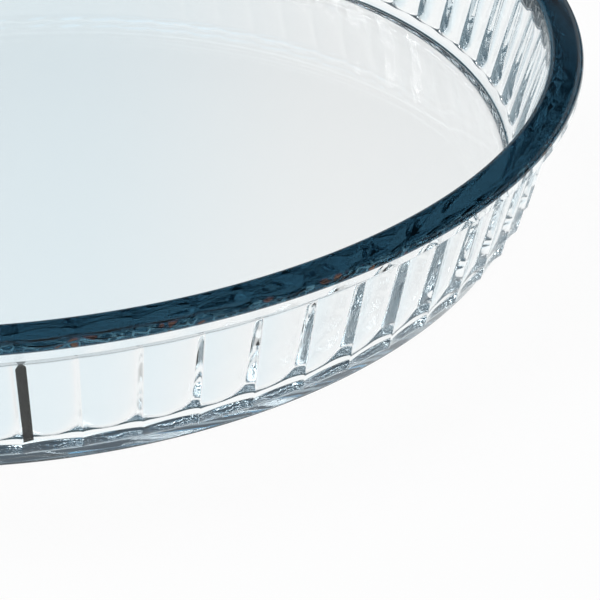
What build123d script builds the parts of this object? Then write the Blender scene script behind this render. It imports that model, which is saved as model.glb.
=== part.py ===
from build123d import *
import os
from math import cos, radians, sin, sqrt, tan

# A round pie dish with a fluted wall, pressed in one piece of clear glass.
# Millimetres. +Z is up, and the origin is the middle of the base, on the table.

# Driving dimensions
rim_diameter = 280.0  # across the outermost edge of the rim
dish_height = 36.0  # from the table to the flat top of the rim
base_thickness = 3.6  # glass under the food
rim_width = 8.0  # from the rim's outer edge to the mouth, just under the mouth's rounded edge

# The rim: a flat collar that stands out past the wall, for the fingers
rim_thickness = 3.8  # at its outer edge
rim_overhang = 3.3  # from the ridges of the wall to the edge of the rim
rim_slope = 40.0  # degrees from level, the underside of the rim
rim_top_round = 2.0  # the rim's outer edge, above
rim_under_round = 0.25  # the rim's outer edge, below
rim_inner_round = 1.5  # the edge towards the food

# The outside of the wall: hollow flutes side by side, which meet in sharp upright ridges
flute_count = 72
flute_depth = 0.95  # from the line between two ridges to the bottom of the flute
wall_draft = 12.1  # degrees from upright

# The inside of the wall: shallower flutes, each behind one outside, with a groove behind each ridge
inner_flute_depth = 0.5
inner_draft = 16.0  # degrees from upright, between the bend and the rim
bend_depth = 21.0  # below the bend the wall curves in, and the flutes run out into its smooth face
bend_round = 50.0
groove_inset = 12.05  # from the rim's outer edge to a groove, at the bend
groove_relief = 0.15  # how far the smooth face stays outside the grooves, at the bend
mouth_draft = 3.0  # degrees from upright, the smooth inner face of the rim

# The floor: flat in the middle, rising a little towards a small round into the wall
floor_border = 29.0  # from the rim's outer edge to the flat of the floor
floor_rise = 0.5
floor_round = 4.0

# The foot: a smooth low band under the flutes, which stands on the table
foot_height = 4.5
foot_inset = 12.4  # from the rim's outer edge to the foot at the table, before the heel is rounded
foot_setback = 0.15  # from the deepest line of a flute to the top of the foot
heel_round = 1.0

overrun = 2.0  # how far shapes run past what they join or cut

# Sizes that follow
rim_radius = rim_diameter / 2
rim_underside = dish_height - rim_thickness
mouth_level = dish_height - rim_inner_round
mouth_edge_radius = rim_radius - rim_width
bend_level = dish_height - bend_depth
groove_radius = rim_radius - groove_inset
foot_radius = rim_radius - foot_inset
flat_floor_radius = rim_radius - floor_border
flute_pitch = 360 / flute_count
half_pitch = flute_pitch / 2
outer_slope = tan(radians(wall_draft))
inner_slope = tan(radians(inner_draft))
mouth_slope = tan(radians(mouth_draft))


def ridge_radius(level):
    """From the axis to a ridge of the outside."""
    return rim_radius - rim_overhang + (level - rim_underside) * outer_slope


def inner_groove_radius(level):
    """From the axis to a groove of the inside."""
    return groove_radius + (level - bend_level) * inner_slope


def curved_radius(level):
    """From the axis to the smooth face below the bend."""
    height_share = sin(radians(inner_draft)) + (bend_level - level) / bend_round
    bend_axis = groove_radius + groove_relief - bend_round * cos(radians(inner_draft))
    return bend_axis + bend_round * sqrt(1 - height_share ** 2)


def mouth_radius(level):
    """From the axis to the smooth inner face of the rim."""
    return mouth_edge_radius + (level - mouth_level) * mouth_slope


def valley_radius(radius, depth):
    """From the axis to the deepest line of a flute between two ridges or grooves of this radius."""
    return radius * cos(radians(half_pitch)) - depth


def around(radius, azimuth, level):
    """A point at a distance from the axis, at an angle round it and a height over the table."""
    return Vector(radius, 0, level).rotate(Axis.Z, azimuth)


def fluted_outline(radius, depth, level):
    """One level of a fluted wall: an arc for each flute, hollow side out, between ridges of this radius."""
    flutes = []
    for flute in range(flute_count):
        azimuth = flute * flute_pitch
        flutes.append(
            ThreePointArc(
                around(radius, azimuth, level),
                around(valley_radius(radius, depth), azimuth + half_pitch, level),
                around(radius, azimuth + flute_pitch, level),
            )
        )
    return Face(Wire(flutes))


def turned(outline, rounds):
    """A solid of revolution from an outline of (radius, height), with some of its corners rounded."""
    profile = make_face(Plane.XZ * outline)
    for corner, round_radius in rounds:
        nearest = profile.vertices().sort_by_distance(Vector(corner[0], 0, corner[1]))[0]
        profile = fillet(nearest, round_radius)
    return revolve(profile, Axis.Z)


def fluted_wall():
    """The wall, still solid right through, from the top of the foot up into the rim."""
    wall_top = dish_height - rim_thickness / 2
    outlines = [fluted_outline(ridge_radius(level), flute_depth, level) for level in (foot_height, wall_top)]
    return loft(outlines, ruled=True)


def rim():
    """The collar round the top, still solid right through, with its sloping underside."""
    slope_radius = mouth_edge_radius + overrun
    slope_level = rim_underside - (rim_radius - slope_radius) * tan(radians(rim_slope))
    points = [
        (0, slope_level),
        (slope_radius, slope_level),
        (rim_radius, rim_underside),
        (rim_radius, dish_height),
        (0, dish_height),
    ]
    return turned(Polyline(*points, close=True), [(points[2], rim_under_round), (points[3], rim_top_round)])


def foot():
    """The smooth band that stands on the table, up to a little way inside the wall."""
    foot_top = foot_height + overrun
    foot_top_radius = valley_radius(ridge_radius(foot_height), flute_depth) - foot_setback
    points = [
        (0, 0),
        (foot_radius, 0),
        (foot_top_radius, foot_height),
        (foot_top_radius, foot_top),
        (0, foot_top),
    ]
    return turned(Polyline(*points, close=True), [(points[1], heel_round)])


def smooth_inside():
    """The space for the food without its flutes: floor, curved wall, straight wall and mouth."""
    corner_level = base_thickness + floor_rise
    corner = (curved_radius(corner_level), corner_level)
    halfway_level = (corner_level + bend_level) / 2
    halfway = (curved_radius(halfway_level), halfway_level)
    bend = (curved_radius(bend_level), bend_level)
    mouth_gap = mouth_radius(bend_level) - curved_radius(bend_level)
    wall_top = bend_level + mouth_gap / (inner_slope - mouth_slope)
    mouth_edge = (mouth_radius(dish_height), dish_height)
    sides_and_floor = Polyline(
        bend,
        (mouth_radius(wall_top), wall_top),
        mouth_edge,
        (rim_radius + overrun, dish_height),
        (rim_radius + overrun, dish_height + overrun),
        (0, dish_height + overrun),
        (0, base_thickness),
        (flat_floor_radius, base_thickness),
        corner,
    )
    outline = sides_and_floor + ThreePointArc(corner, halfway, bend)
    return turned(outline, [(corner, floor_round), (mouth_edge, rim_inner_round)])


def fluted_inside():
    """A fluted plug as wide as the inside of the wall, from under the floor to over the rim."""
    levels = (base_thickness - overrun, dish_height + overrun)
    outlines = [fluted_outline(inner_groove_radius(level), inner_flute_depth, level) for level in levels]
    return loft(outlines, ruled=True)


def glass_dish():
    """The whole dish."""
    outside = fluted_wall() + rim() + foot()
    return outside - (smooth_inside() & fluted_inside())


dish = glass_dish()
os.makedirs("parts", exist_ok=True)
export_step(dish, "parts/glass_dish.step")
print("volume, cubic mm:", round(dish.volume))
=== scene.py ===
from math import asin, cos, degrees, pi, radians, sin, sqrt, tan

import bpy
import numpy as np
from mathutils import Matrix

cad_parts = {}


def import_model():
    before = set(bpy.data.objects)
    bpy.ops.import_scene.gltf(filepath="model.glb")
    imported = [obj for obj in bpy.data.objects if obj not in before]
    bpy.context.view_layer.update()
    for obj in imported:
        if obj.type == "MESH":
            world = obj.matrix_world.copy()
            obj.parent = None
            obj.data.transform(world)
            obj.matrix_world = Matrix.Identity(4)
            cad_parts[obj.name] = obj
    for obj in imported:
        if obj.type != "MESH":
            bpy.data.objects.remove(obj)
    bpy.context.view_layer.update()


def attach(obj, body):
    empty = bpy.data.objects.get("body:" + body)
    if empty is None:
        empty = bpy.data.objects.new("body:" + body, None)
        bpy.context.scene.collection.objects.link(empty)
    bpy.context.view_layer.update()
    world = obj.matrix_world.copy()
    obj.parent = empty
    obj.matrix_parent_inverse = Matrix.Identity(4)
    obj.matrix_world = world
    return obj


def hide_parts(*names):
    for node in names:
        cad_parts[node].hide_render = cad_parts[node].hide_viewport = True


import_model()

# The dish's sizes, in millimetres, the same as in the solid

millimetre = 0.001
rim_radius = 140.0
dish_height = 36.0
base_thickness = 3.6

rim_thickness = 3.8
rim_overhang = 3.3
rim_top_round = 2.0
rim_under_round = 0.25
rim_inner_round = 1.5
rim_slope = 40.0  # degrees from level, the underside of the rim
mouth_radius = 132.0  # the upright inner face of the rim
mouth_draft = 3.0  # degrees from upright

flute_count = 72
flute_depth = 0.95
wall_draft = 12.1  # degrees from upright, outside

inner_flute_depth = 0.5
groove_relief = 0.15  # how far the smooth cut under the inner flutes stays outside the grooves
inner_draft = 16.0  # degrees from upright, inside, above the bend
bend_level = 15.0  # below it the inside curves towards the floor
bend_radius = 50.0
groove_radius = 127.95  # the inside's grooves, at the bend
floor_round = 4.0
flat_floor_radius = 111.0  # outside it the floor rises a little, up to the round
floor_rise = 0.5

foot_height = 4.5
foot_radius = 127.6
foot_setback = 0.15
heel_round = 1.0

# How the mesh softens and joins these shapes, in millimetres

ridge_sharpness = 0.02  # rounding of a ridge, as a share of half a flute
groove_sharpness = 0.05  # rounding of a groove, as a share of half a flute
rim_root_blend = 0.15  # where the flutes meet the rim's underside
rim_root_run = 6.0  # the rings of that blend start this far below the rim's edge
rim_root_gap = 0.1  # and stop this far below it
mouth_join = 0.15  # where the mouth's face meets the inner wall
flute_blend = 0.12  # where the inner flutes run out
heel_gap = 0.3  # from the last flat ring of the base to the heel
ledge_height = 0.5  # from the top of the foot to the lower ends of the ridges
ledge_drop = 0.25  # the ledge's rings start this far below the top of the foot
ledge_gap = 0.02  # and the foot's last ring lies this far inside them
ledge_curve = 2.2  # above 1, the ledge leaves the foot level and steepens towards the wall
floor_curve = 1.5  # above 1, the floor leaves its flat middle softly

# Fineness of the mesh, in rings or columns

columns_per_flute = 20
column_crowding = 1.6  # above 1, the columns stand closer together near a ridge
base_steps = 16
heel_steps = 8
foot_steps = 6
ledge_steps = 6
wall_steps = 12
rim_root_steps = 30
rim_under_steps = 6
rim_top_steps = 12
lip_steps = 10
inner_wall_steps = 44
floor_round_steps = 40
floor_slope_steps = 12
closing_in_steps = 20  # to find the level where the wall meets the floor's round

# Sizes that follow

half_flute = pi / flute_count
chord_sag = 1 - cos(half_flute)
rim_underside = dish_height - rim_thickness
ridge_radius_at_rim = rim_radius - rim_overhang
mouth_level = dish_height - rim_inner_round
floor_round_level = base_thickness + floor_rise + floor_round


def ridge_radius(level):
    """The outside of the wall, along a ridge."""
    return ridge_radius_at_rim + (level - rim_underside) * tan(radians(wall_draft))


def valley_radius(level):
    """The outside of the wall, along the deepest line of a flute."""
    return ridge_radius(level) * (1 - chord_sag) - flute_depth


def inner_groove(level):
    """The inside of the wall, along a groove."""
    return groove_radius + (level - bend_level) * tan(radians(inner_draft))


def smooth_inside(level):
    """The smooth cut that the inner flutes run out into: straight above the bend, and an arc below it."""
    if level > bend_level:
        return inner_groove(level) + groove_relief
    drop = sin(radians(inner_draft)) + (bend_level - level) / bend_radius
    return groove_radius + groove_relief - bend_radius * (cos(radians(inner_draft)) - sqrt(1 - drop ** 2))


def lean_of_inside(level):
    """Degrees from upright, along the smooth cut below the bend."""
    return degrees(asin(sin(radians(inner_draft)) + (bend_level - level) / bend_radius))


def mouth_face(level):
    """The smooth inner face of the rim."""
    return mouth_radius + (level - mouth_level) * tan(radians(mouth_draft))


foot_top_radius = valley_radius(foot_height) - foot_setback


# Columns and rings: a ring is its radii round the dish, and its level

def column_angles():
    """Angles round the dish, and their distances from the nearest ridge, as shares of half a flute."""
    steps = columns_per_flute // 2
    one_side = [(step / steps) ** column_crowding for step in range(steps + 1)]
    one_flute = np.array([-share for share in one_side[::-1]] + one_side[1:-1])
    round_the_dish = [(one_flute + 2 * flute) * half_flute for flute in range(flute_count)]
    return np.concatenate(round_the_dish), np.tile(np.abs(one_flute), flute_count)


def bow(distance, sharpness):
    """The hollow of a flute: 0 on a ridge, 1 in the middle of the flute."""
    rounded = np.sqrt(distance ** 2 + sharpness ** 2) - sharpness
    share = rounded / (np.sqrt(1 + sharpness ** 2) - sharpness)
    return 2 * share - share ** 2


angles, ridge_distance = column_angles()
outer_bow = bow(ridge_distance, ridge_sharpness)
inner_bow = bow(ridge_distance, groove_sharpness)


def plain(radius, level):
    """A round ring."""
    return np.full(len(angles), radius), level


def fluted(level):
    """A ring of the fluted outside."""
    radius = ridge_radius(level)
    return radius - (flute_depth + radius * chord_sag) * outer_bow, level


def under_rim(level):
    """A ring where the flutes run out into the sloping underside of the rim."""
    wall, _ = fluted(level)
    slope = rim_radius - rim_under_round + (level - rim_underside) / tan(radians(rim_slope))
    return slope + rim_root_blend * np.logaddexp(0, (wall - slope) / rim_root_blend), level


def ledge(share, level):
    """A ring of the ledge, between the smooth foot and the fluted wall above it."""
    wall, _ = fluted(level)
    return foot_top_radius + (wall - foot_top_radius) * share, level


def inner_fluted(radius, level):
    """A ring of the inside, where the flutes bulge from the smooth body as far as they reach past it."""
    flutes = inner_groove(level) - (inner_flute_depth + radius * chord_sag) * inner_bow
    return radius - flute_blend * np.logaddexp(0, (radius - flutes) / flute_blend), level


def arc(middle_radius, middle_level, round_radius, start, end, steps):
    """Points of a profile's arc, from one angle to another, in degrees above the outward direction."""
    points = []
    for step in range(steps + 1):
        angle = radians(start + (end - start) * step / steps)
        points.append((middle_radius + round_radius * cos(angle), middle_level + round_radius * sin(angle)))
    return points


def run(start, end, steps):
    """Points of a profile's straight run, without its start."""
    points = []
    for step in range(1, steps + 1):
        share = step / steps
        points.append((start[0] + (end[0] - start[0]) * share, start[1] + (end[1] - start[1]) * share))
    return points


def levels_between(start, end, steps):
    """Evenly spaced levels, without the start."""
    return [start + (end - start) * step / steps for step in range(1, steps + 1)]


# The profile, ring by ring

def foot_rings():
    """The base, the heel and the smooth foot, from the middle of the base outwards and up."""
    lean = (foot_top_radius - foot_radius) / foot_height
    lean_angle = np.degrees(np.arctan(lean))
    heel_middle = foot_radius + lean * heel_round - heel_round / cos(radians(lean_angle))
    base = run((0, 0), (foot_radius - heel_round - heel_gap, 0), base_steps)
    heel = arc(heel_middle, heel_round, heel_round, -90, -lean_angle, heel_steps)
    side = run(heel[-1], (foot_top_radius - ledge_gap, foot_height - ledge_drop), foot_steps)
    return [plain(*point) for point in base + heel + side]


def ledge_rings():
    """From the smooth foot to the lower ends of the flutes."""
    rings = []
    for step in range(1, ledge_steps + 1):
        share = step / ledge_steps
        rise = (ledge_height + ledge_drop) * share ** ledge_curve
        rings.append(ledge(share, foot_height - ledge_drop + rise))
    return rings


def wall_rings():
    """The fluted outside, up to where it runs out into the underside of the rim."""
    bottom = foot_height + ledge_height
    top = rim_underside - rim_root_run
    root_top = rim_underside - rim_root_gap
    wall = [fluted(level) for level in levels_between(bottom, top, wall_steps)]
    root = [under_rim(level) for level in levels_between(top, root_top, rim_root_steps)]
    return wall + root


def rim_rings():
    """The outer edge of the rim, up to its flat top."""
    under_radius = rim_radius - rim_under_round
    under_level = rim_underside + rim_under_round
    under = arc(under_radius, under_level, rim_under_round, rim_slope - 90, 0, rim_under_steps)
    top = arc(rim_radius - rim_top_round, dish_height - rim_top_round, rim_top_round, 0, 90, rim_top_steps)
    return [plain(*point) for point in under + top]


def lip_rings():
    """The rounded edge of the rim, towards the food."""
    lip = arc(mouth_radius + rim_inner_round, mouth_level, rim_inner_round, 90, 180 - mouth_draft, lip_steps)
    return [plain(*point) for point in lip]


def wall_end():
    """The level where the inner wall meets the floor's round."""
    level = floor_round_level
    for _ in range(closing_in_steps):
        level = floor_round_level - floor_round * sin(radians(lean_of_inside(level)))
    return level


def inner_wall_rings():
    """The mouth's face and the fluted inner wall, down to the floor's round."""
    rings = []
    for level in levels_between(mouth_level, wall_end(), inner_wall_steps)[:-1]:
        past = mouth_face(level) - smooth_inside(level)
        radius = mouth_face(level) - mouth_join * np.logaddexp(0, past / mouth_join)
        rings.append(inner_fluted(radius, level))
    return rings


def floor_rings():
    """The round at the end of the wall, the slight slope, and the flat floor up to its middle."""
    lean = lean_of_inside(wall_end())
    axis = smooth_inside(wall_end()) - floor_round * cos(radians(lean))
    rise_angle = np.degrees(np.arctan(floor_rise / (axis - flat_floor_radius)))
    corner = arc(axis, floor_round_level, floor_round, -lean, -90 + rise_angle, floor_round_steps)
    slope_radius, slope_level = corner[-1]
    slope = []
    for step in range(1, floor_slope_steps + 1):
        share = step / floor_slope_steps
        radius = slope_radius + (flat_floor_radius - slope_radius) * share
        slope.append((radius, base_thickness + (slope_level - base_thickness) * (1 - share) ** floor_curve))
    flat = run((flat_floor_radius, base_thickness), (0, base_thickness), base_steps)[:-1]
    return [inner_fluted(*point) for point in corner] + [plain(*point) for point in slope + flat]


def ring_mesh(name, rings, bottom, top):
    """A closed mesh through the rings, with a point in the middle of its two ends."""
    count = len(angles)
    layers = []
    for radii, level in rings:
        heights = np.full(count, level)
        layers.append(np.stack([radii * np.cos(angles), radii * np.sin(angles), heights], -1))
    points = np.concatenate(layers + [[(0, 0, bottom), (0, 0, top)]]) * millimetre
    column = np.arange(count)
    beside = np.roll(column, -1)
    faces = []
    for ring in range(len(rings) - 1):
        low = ring * count
        high = low + count
        faces += np.stack([low + column, low + beside, high + beside, high + column], -1).tolist()
    last = (len(rings) - 1) * count
    faces += np.stack([np.full(count, len(points) - 2), beside, column], -1).tolist()
    faces += np.stack([np.full(count, len(points) - 1), last + column, last + beside], -1).tolist()
    mesh = bpy.data.meshes.new(name)
    mesh.from_pydata(points.tolist(), [], faces)
    mesh.polygons.foreach_set("use_smooth", [True] * len(mesh.polygons))
    mesh.update()
    piece = bpy.data.objects.new(name, mesh)
    bpy.context.scene.collection.objects.link(piece)
    return piece


# Node helpers

def value_node(nodes, links, operation, *values):
    """The output of a Math node, for numbers or sockets."""
    node = nodes.new("ShaderNodeMath")
    node.operation = operation
    for place, value in enumerate(values):
        if isinstance(value, (int, float)):
            node.inputs[place].default_value = value
        else:
            links.new(value, node.inputs[place])
    return node.outputs[0]


def product_node(nodes, links, first, *others):
    """The product of numbers or sockets, through one Math node for each after the first."""
    product = first
    for other in others:
        product = value_node(nodes, links, "MULTIPLY", product, other)
    return product


def ramp_node(nodes, links, value, span, at_low=0.0, at_high=1.0, unit=1.0):
    """The output of a smooth Map Range node, over a span of the value."""
    node = nodes.new("ShaderNodeMapRange")
    node.interpolation_type = "SMOOTHSTEP"
    links.new(value, node.inputs["Value"])
    node.inputs["From Min"].default_value = span[0] * unit
    node.inputs["From Max"].default_value = span[1] * unit
    node.inputs["To Min"].default_value = at_low
    node.inputs["To Max"].default_value = at_high
    return node.outputs["Result"]


def mix_node(nodes, links, factor, first, second):
    """The output of a colour Mix node, for colours or sockets."""
    node = nodes.new("ShaderNodeMix")
    node.data_type = "RGBA"
    for name, value in (("Factor", factor), ("A", first), ("B", second)):
        if isinstance(value, tuple):
            node.inputs[name].default_value = (*value, 1.0)
        else:
            links.new(value, node.inputs[name])
    return node.outputs["Result"]


def noise_node(nodes, links, place, scale, detail):
    """The output of a Noise Texture node."""
    node = nodes.new("ShaderNodeTexNoise")
    node.inputs["Scale"].default_value = scale
    node.inputs["Detail"].default_value = detail
    links.new(place, node.inputs["Vector"])
    return node.outputs["Fac"]


def cells_node(nodes, links, place, feature, scale):
    """A Voronoi Texture node."""
    node = nodes.new("ShaderNodeTexVoronoi")
    node.feature = feature
    node.inputs["Scale"].default_value = scale
    links.new(place, node.inputs["Vector"])
    return node


def chances_node(nodes, links, cells):
    """The random numbers of a Voronoi Texture's cells, as red, green and blue."""
    node = nodes.new("ShaderNodeSeparateColor")
    links.new(cells.outputs["Color"], node.inputs["Color"])
    return node


def azimuth_node(nodes, links, split):
    """The angle round the dish."""
    return value_node(nodes, links, "ARCTAN2", split.outputs["Y"], split.outputs["X"])


# Glass: its colours, then where they lie, in millimetres over the table or in shares of a cell or a noise

glass_tint = (1.0, 1.0, 1.0)
# painted shade: the rim's dark navy stands in for the dark room seen through its clear glass
rim_painted_shade = (0.0004, 0.004, 0.010)
# painted refraction: paler cell edges and brown spots stand in for the flutes seen through the rim
rim_painted_refraction_line = (0.008, 0.04, 0.07)
rim_painted_brown_refraction = (0.02, 0.006, 0.003)
# painted shade: a thin dark line round the heel where the glass meets the table
heel_painted_shade = (0.0006, 0.004, 0.007)
# painted reflection: a dark object seen beside one ridge, not a mark in the glass
dark_reflection_paint = (0.0005, 0.0005, 0.0004)
seed_tint = (0.35, 0.42, 0.45)
absorption_tint = (0.30, 0.60, 0.72)
absorption_density = 2.0
refraction = 1.47

# the levels where the painted rim shade starts
rim_painted_shade_levels = (33.9, 34.1)
rim_round_levels = (35.3, 35.7)  # where the rim's outer round gives way to its flat top
refraction_cells_round = 420.0  # cells in a metre, round the rim
refraction_cells_up = 1100.0  # cells in a metre, up its side
pale_edge = (0.02, 0.14)
pale_chance = (0.45, 0.6)
brown_middle = (0.12, 0.25)
brown_chance = (0.86, 0.88)

heel_line_start = (0.04, 0.08)
heel_line_end = (0.7, 1.0)

# where the painted dark reflection lies
dark_reflection_azimuth = -79.45  # degrees
dark_reflection_half_width = 0.42  # degrees
dark_reflection_bottom = 8.0
dark_reflection_top = (27.5, 29.5)
outside_depth = 2.5  # a surface this far in from the ridges still belongs to the outside

seed_scale = 60.0
seed_size = (0.012, 0.03)
seedless_share = 0.7  # of the cells

worn_levels = (35.2, 36.0)
wear_scale = 700.0
wear_detail = 3.0
wear_span = (0.45, 0.75)
worn_roughness = 0.12

wave_scale = 60.0
wave_detail = 2.0
wave_height = 0.3  # millimetres
wave_levels = (4.0, 12.0)
faint_waves = 0.02  # strength below those levels
full_waves = 0.08  # strength above them


def painted_rim_refraction(nodes, links, split):
    """The painted colour of the rim: dark navy as painted shade for the dark room seen through its clear
    glass, and small cells with paler edges round its outer side, a few of them brown, as painted refraction
    of the flutes seen through it.
    """
    spread = nodes.new("ShaderNodeCombineXYZ")
    round_scale = rim_radius * millimetre * refraction_cells_round
    links.new(product_node(nodes, links, azimuth_node(nodes, links, split), round_scale), spread.inputs["X"])
    links.new(product_node(nodes, links, split.outputs["Z"], refraction_cells_up), spread.inputs["Y"])
    edges = cells_node(nodes, links, spread.outputs["Vector"], "DISTANCE_TO_EDGE", 1.0).outputs["Distance"]
    chances = chances_node(nodes, links, cells_node(nodes, links, spread.outputs["Vector"], "F1", 1.0))
    on_round = ramp_node(nodes, links, split.outputs["Z"], rim_round_levels, 1.0, 0.0, millimetre)
    edge = ramp_node(nodes, links, edges, pale_edge, 1.0, 0.0)
    chosen = ramp_node(nodes, links, chances.outputs["Red"], pale_chance)
    line = product_node(nodes, links, edge, chosen, on_round)
    lined = mix_node(nodes, links, line, rim_painted_shade, rim_painted_refraction_line)
    middle = ramp_node(nodes, links, edges, brown_middle)
    brown = ramp_node(nodes, links, chances.outputs["Green"], brown_chance)
    spot = product_node(nodes, links, brown, middle, on_round)
    return mix_node(nodes, links, spot, lined, rim_painted_brown_refraction)


def on_outside(nodes, links, split):
    """1 on the outside of the wall, 0 on its inside."""
    flat = nodes.new("ShaderNodeCombineXYZ")
    links.new(split.outputs["X"], flat.inputs["X"])
    links.new(split.outputs["Y"], flat.inputs["Y"])
    away = nodes.new("ShaderNodeVectorMath")
    away.operation = "LENGTH"
    links.new(flat.outputs["Vector"], away.inputs[0])
    draft = -tan(radians(wall_draft))
    at_table = value_node(nodes, links, "MULTIPLY_ADD", split.outputs["Z"], draft, away.outputs["Value"])
    limit = (ridge_radius(0.0) - outside_depth) * millimetre
    return value_node(nodes, links, "GREATER_THAN", at_table, limit)


def painted_dark_reflection(nodes, links, split):
    """Where a painted reflection of a dark object runs down the outside, beside one ridge, as in the
    photograph.
    """
    azimuth = azimuth_node(nodes, links, split)
    aside = value_node(nodes, links, "SUBTRACT", azimuth, radians(dark_reflection_azimuth))
    across = value_node(nodes, links, "ABSOLUTE", aside)
    half_width = radians(dark_reflection_half_width)
    narrowing = ramp_node(nodes, links, split.outputs["Z"], dark_reflection_top, half_width, 0.0, millimetre)
    within = value_node(nodes, links, "LESS_THAN", across, narrowing)
    over_foot = value_node(nodes, links, "GREATER_THAN", split.outputs["Z"], dark_reflection_bottom * millimetre)
    return product_node(nodes, links, within, over_foot, on_outside(nodes, links, split))


def heel_line(nodes, links, level):
    """Where painted shade runs round the heel as a thin dark line, where the glass meets the table."""
    start = ramp_node(nodes, links, level, heel_line_start, unit=millimetre)
    end = ramp_node(nodes, links, level, heel_line_end, 1.0, 0.0, millimetre)
    return product_node(nodes, links, start, end)


def seeds(nodes, links, place):
    """Where small seeds lie in the glass: few, and each well under a millimetre."""
    cells = cells_node(nodes, links, place, "F1", seed_scale)
    chances = chances_node(nodes, links, cells)
    chosen = value_node(nodes, links, "GREATER_THAN", chances.outputs["Blue"], seedless_share)
    near = ramp_node(nodes, links, cells.outputs["Distance"], seed_size, 1.0, 0.0)
    return product_node(nodes, links, near, chosen)


def wear(nodes, links, place, level):
    """The roughness of fine wear on the top of the rim."""
    on_top = ramp_node(nodes, links, level, worn_levels, unit=millimetre)
    patches = noise_node(nodes, links, place, wear_scale, wear_detail)
    worn = ramp_node(nodes, links, patches, wear_span, 0.0, worn_roughness)
    return product_node(nodes, links, on_top, worn)


def waves(nodes, links, place, level):
    """The surface direction of pressed glass, with waves that are fainter on the floor and the foot."""
    bump = nodes.new("ShaderNodeBump")
    strength = ramp_node(nodes, links, level, wave_levels, faint_waves, full_waves, millimetre)
    links.new(strength, bump.inputs["Strength"])
    bump.inputs["Distance"].default_value = wave_height * millimetre
    links.new(noise_node(nodes, links, place, wave_scale, wave_detail), bump.inputs["Height"])
    return bump.outputs["Normal"]


def clear_glass():
    """Pressed clear glass: painted shade and refraction in the rim, a painted dark heel line, seeds, one
    painted dark reflection, wear and waves.
    """
    material = bpy.data.materials.new("clear_glass")
    material.use_nodes = True
    nodes = material.node_tree.nodes
    links = material.node_tree.links
    surface = nodes["Principled BSDF"]
    place = nodes.new("ShaderNodeTexCoord").outputs["Object"]
    split = nodes.new("ShaderNodeSeparateXYZ")
    links.new(place, split.inputs[0])
    level = split.outputs["Z"]

    # painted shade and refraction: the rim's clear glass coloured dark, with cells standing in for the
    # flutes seen through it
    in_rim = ramp_node(nodes, links, level, rim_painted_shade_levels, unit=millimetre)
    rimmed = mix_node(nodes, links, in_rim, glass_tint, painted_rim_refraction(nodes, links, split))
    # painted shade: the thin dark line round the heel
    with_heel_shade = mix_node(nodes, links, heel_line(nodes, links, level), rimmed, heel_painted_shade)
    seeded = mix_node(nodes, links, seeds(nodes, links, place), with_heel_shade, seed_tint)
    # painted reflection: one dark bar beside a ridge
    with_dark_reflection = mix_node(nodes, links, painted_dark_reflection(nodes, links, split), seeded, dark_reflection_paint)
    links.new(with_dark_reflection, surface.inputs["Base Color"])
    links.new(wear(nodes, links, place, level), surface.inputs["Roughness"])
    links.new(waves(nodes, links, place, level), surface.inputs["Normal"])
    surface.inputs["Transmission Weight"].default_value = 1.0
    surface.inputs["IOR"].default_value = refraction

    depth = nodes.new("ShaderNodeVolumeAbsorption")
    depth.inputs["Color"].default_value = (*absorption_tint, 1.0)
    depth.inputs["Density"].default_value = absorption_density
    links.new(depth.outputs["Volume"], nodes["Material Output"].inputs["Volume"])
    return material


def glass_dish():
    """The dish, in place of its solid."""
    outside = foot_rings() + ledge_rings() + wall_rings() + rim_rings()
    inside = lip_rings() + inner_wall_rings() + floor_rings()
    piece = ring_mesh("dish", outside + inside, 0.0, base_thickness)
    piece.data.materials.append(clear_glass())
    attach(piece, "root")
    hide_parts("glass_dish")
    return piece


# Floor, world, lamp and camera, in metres, with elevations in degrees over level

table_white = (1.0, 1.0, 1.0)
table_roughness = 0.9
table_shadow_share = 0.04
floor_half = 3.0
floor_level = -0.0001

background_white = (1.0, 1.0, 1.0)
room_dark = (0.012, 0.042, 0.07)
ceiling_white = (0.98, 1.0, 1.0)
shaded_white = (0.86, 0.96, 1.0)
table_edge = (-16.0, -6.0)
horizon_start = (2.0, 6.0)
horizon_end = (18.0, 26.0)
horizon_share = 0.4
ceiling_edge = (66.0, 74.0)
ceiling_share = 0.3
shaded_side = (-0.16, 0.02)  # the sideways part of a direction, from the shaded side to the other

lamp_size = 0.8
lamp_power = 12.0
lamp_place = (-0.5, 0.3, 1.2)
lamp_lean = (-14.0, -22.0)  # degrees

camera_place = (0.079457, -0.393203, 0.211349)
camera_tilt = 57.08  # degrees from straight down
camera_turn = 0.97  # degrees
lens_length = 106.376  # millimetres, on the film width below
film_width = 36.0
nearest_seen = 0.01

light_bounces = 40


def floor():
    """A plain white table top, lit evenly, that keeps a faint shadow."""
    half = floor_half
    corners = [(-half, -half), (half, -half), (half, half), (-half, half)]
    mesh = bpy.data.meshes.new("floor")
    mesh.from_pydata([(*corner, floor_level) for corner in corners], [], [(0, 1, 2, 3)])
    mesh.materials.append(table_top())
    piece = bpy.data.objects.new("floor", mesh)
    bpy.context.scene.collection.objects.link(piece)


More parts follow.
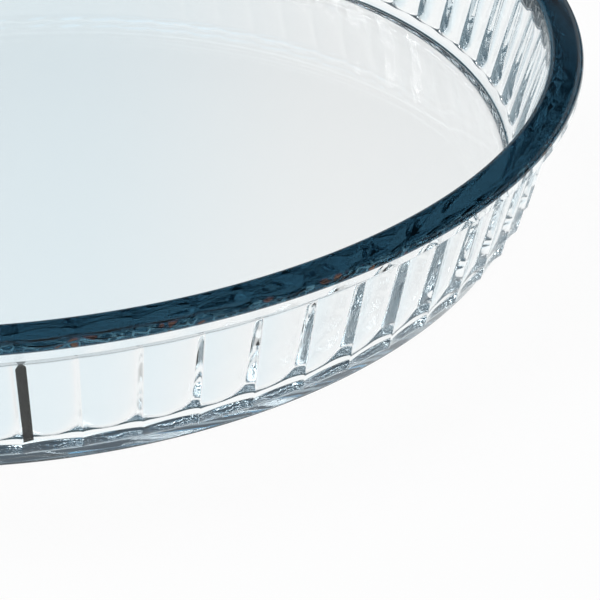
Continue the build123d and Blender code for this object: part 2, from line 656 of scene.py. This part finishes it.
def table_top():
    """Matt white with most of its light its own, for the camera; open to rays through or off the glass."""
    material = bpy.data.materials.new("table_top")
    material.use_nodes = True
    nodes = material.node_tree.nodes
    links = material.node_tree.links
    path = nodes.new("ShaderNodeLightPath")
    matt = nodes["Principled BSDF"]
    matt.inputs["Base Color"].default_value = (*table_white, 1.0)
    matt.inputs["Roughness"].default_value = table_roughness
    glow = nodes.new("ShaderNodeEmission")
    glow.inputs["Color"].default_value = (*table_white, 1.0)
    lit = nodes.new("ShaderNodeMixShader")
    straight = product_node(nodes, links, path.outputs["Is Camera Ray"], 1.0 - table_shadow_share)
    links.new(straight, lit.inputs["Fac"])
    links.new(matt.outputs["BSDF"], lit.inputs[1])
    links.new(glow.outputs["Emission"], lit.inputs[2])
    glossy = path.outputs["Is Glossy Ray"]
    in_glass = value_node(nodes, links, "MAXIMUM", glossy, path.outputs["Is Transmission Ray"])
    through = nodes.new("ShaderNodeMixShader")
    links.new(in_glass, through.inputs["Fac"])
    links.new(lit.outputs["Shader"], through.inputs[1])
    links.new(nodes.new("ShaderNodeBsdfTransparent").outputs["BSDF"], through.inputs[2])
    links.new(through.outputs["Shader"], nodes["Material Output"].inputs["Surface"])
    return material


def upward(elevations):
    """The upward parts of directions at these elevations."""
    return [sin(radians(elevation)) for elevation in elevations]


def world():
    """A dark room round a white table, with a faint horizon and ceiling; white behind, for the camera."""
    studio = bpy.data.worlds.new("studio")
    bpy.context.scene.world = studio
    studio.use_nodes = True
    nodes = studio.node_tree.nodes
    links = studio.node_tree.links
    split = nodes.new("ShaderNodeSeparateXYZ")
    links.new(nodes.new("ShaderNodeTexCoord").outputs["Generated"], split.inputs[0])
    height = split.outputs["Z"]
    table = ramp_node(nodes, links, height, upward(table_edge), 1.0, 0.0)
    over_horizon = ramp_node(nodes, links, height, upward(horizon_start), 0.0, horizon_share)
    under_window = ramp_node(nodes, links, height, upward(horizon_end), 1.0, 0.0)
    horizon = product_node(nodes, links, over_horizon, under_window)
    ceiling = ramp_node(nodes, links, height, upward(ceiling_edge), 0.0, ceiling_share)
    pale = value_node(nodes, links, "MAXIMUM", ceiling, horizon)
    light = value_node(nodes, links, "MAXIMUM", pale, table)
    aside = ramp_node(nodes, links, split.outputs["X"], shaded_side)
    lit = mix_node(nodes, links, aside, shaded_white, ceiling_white)
    room = mix_node(nodes, links, light, room_dark, lit)
    path = nodes.new("ShaderNodeLightPath")
    color = mix_node(nodes, links, path.outputs["Is Camera Ray"], room, background_white)
    links.new(color, nodes["Background"].inputs["Color"])


def lamp():
    """One soft lamp, high on the left."""
    light = bpy.data.lights.new("softbox", "AREA")
    light.shape = "DISK"
    light.size = lamp_size
    light.energy = lamp_power
    piece = bpy.data.objects.new("softbox", light)
    bpy.context.scene.collection.objects.link(piece)
    piece.location = lamp_place
    piece.rotation_euler = (radians(lamp_lean[0]), radians(lamp_lean[1]), 0)


def camera():
    """The photograph's view, from a pinhole camera fitted to it."""
    pinhole = bpy.data.cameras.new("camera")
    piece = bpy.data.objects.new("camera", pinhole)
    bpy.context.scene.collection.objects.link(piece)
    piece.location = camera_place
    piece.rotation_euler = (radians(camera_tilt), 0, radians(camera_turn))
    pinhole.lens = lens_length
    pinhole.sensor_width = film_width
    pinhole.clip_start = nearest_seen
    bpy.context.scene.camera = piece


def settings():
    """Light paths long enough for glass, and plain colours."""
    scene = bpy.context.scene
    scene.view_settings.view_transform = "Standard"
    scene.cycles.max_bounces = light_bounces
    scene.cycles.transmission_bounces = light_bounces
    scene.cycles.glossy_bounces = light_bounces


glass_dish()
floor()
world()
lamp()
camera()
settings()
